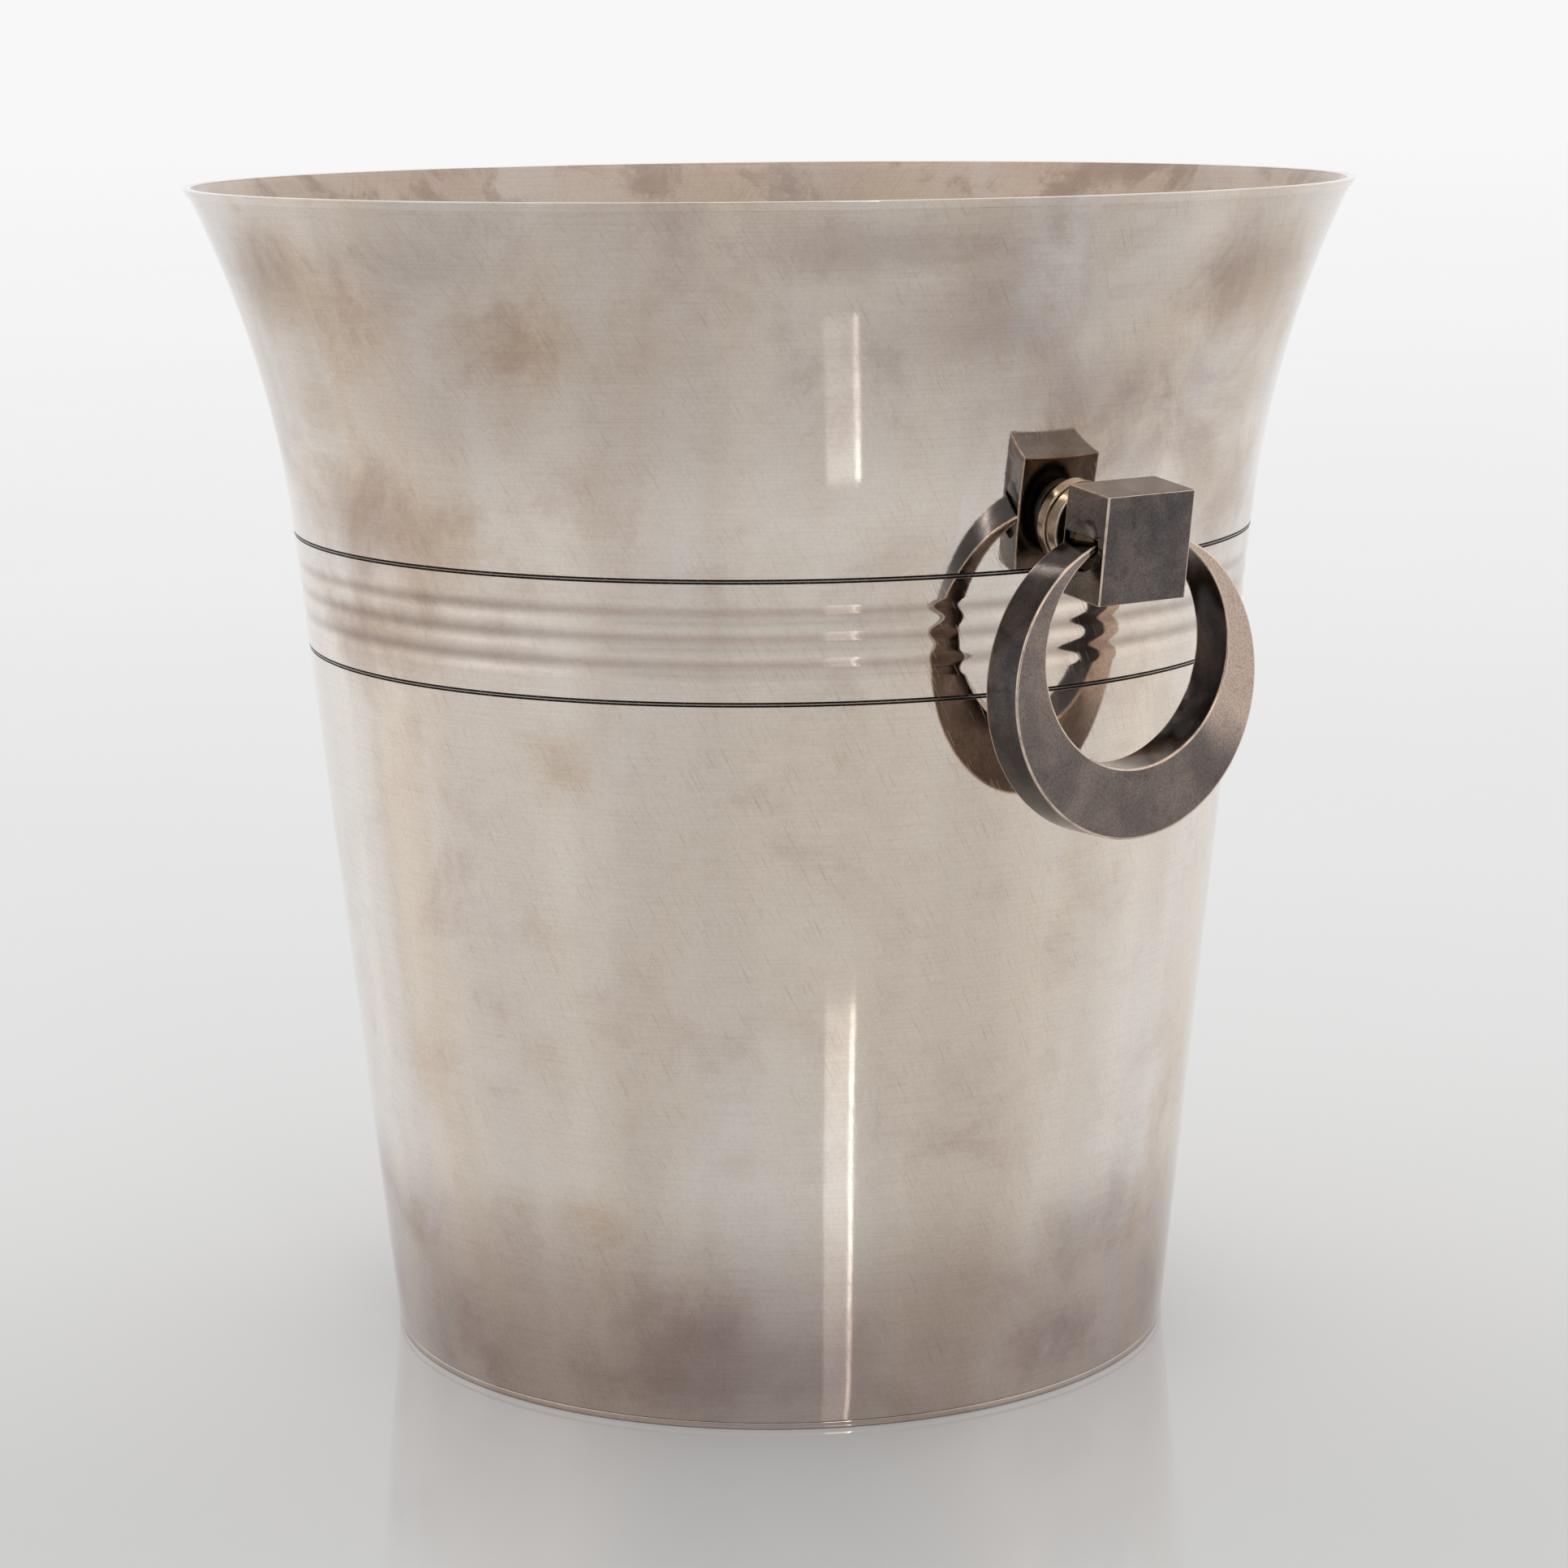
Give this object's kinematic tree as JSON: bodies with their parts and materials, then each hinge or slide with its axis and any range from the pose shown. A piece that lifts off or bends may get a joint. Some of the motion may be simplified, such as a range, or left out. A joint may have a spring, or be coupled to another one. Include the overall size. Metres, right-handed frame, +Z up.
{
  "type": "champagne bucket",
  "caption": "Flared metal champagne bucket with a fluted band between engraved lines, square blocks with hanging crescent rings as handles, rim band and foot ring.",
  "frame": {"origin": "centre of the foot, on the surface that the bucket stands on", "axes": "+Z up along the bucket's axis, +X through the right handle, -X through the left one"},
  "size_m": [0.2178, 0.215, 0.216],
  "materials": {
    "mirror_silver": "mirror polished silver plate with brown and violet-grey tarnish clouds and fine scratches",
    "worn_silver": "polished silver plate, worn warm at the edges",
    "dark_silver": "satin, heavily tarnished silver plate with bright worn edges",
    "bare_brass": "dull bare brass"
  },
  "bodies": {
    "bucket": {"wall": "mirror_silver", "rim_band": "mirror_silver", "foot_ring": "mirror_silver", "base_plate": "mirror_silver", "collar_right": "worn_silver", "block_right": "dark_silver", "screw_right": "bare_brass", "washer_right": "bare_brass", "collar_left": "worn_silver", "block_left": "dark_silver", "screw_left": "bare_brass", "washer_left": "bare_brass"},
    "swing_right": {"ring_right": "dark_silver", "hinge_bar_right": "bare_brass"},
    "swing_left": {"ring_left": "dark_silver", "hinge_bar_left": "bare_brass"}
  },
  "joints": [
    {"name": "ring_right_swing", "type": "hinge", "parent": "bucket", "child": "swing_right", "pos_m": [0.10162, 0, 0.15868], "axis": [0, -1, 0], "range_deg": [-14, 3]},
    {"name": "ring_left_swing", "type": "hinge", "parent": "bucket", "child": "swing_left", "pos_m": [-0.10162, 0, 0.15868], "axis": [0, 1, 0], "range_deg": [-14, 3]}
  ]
}
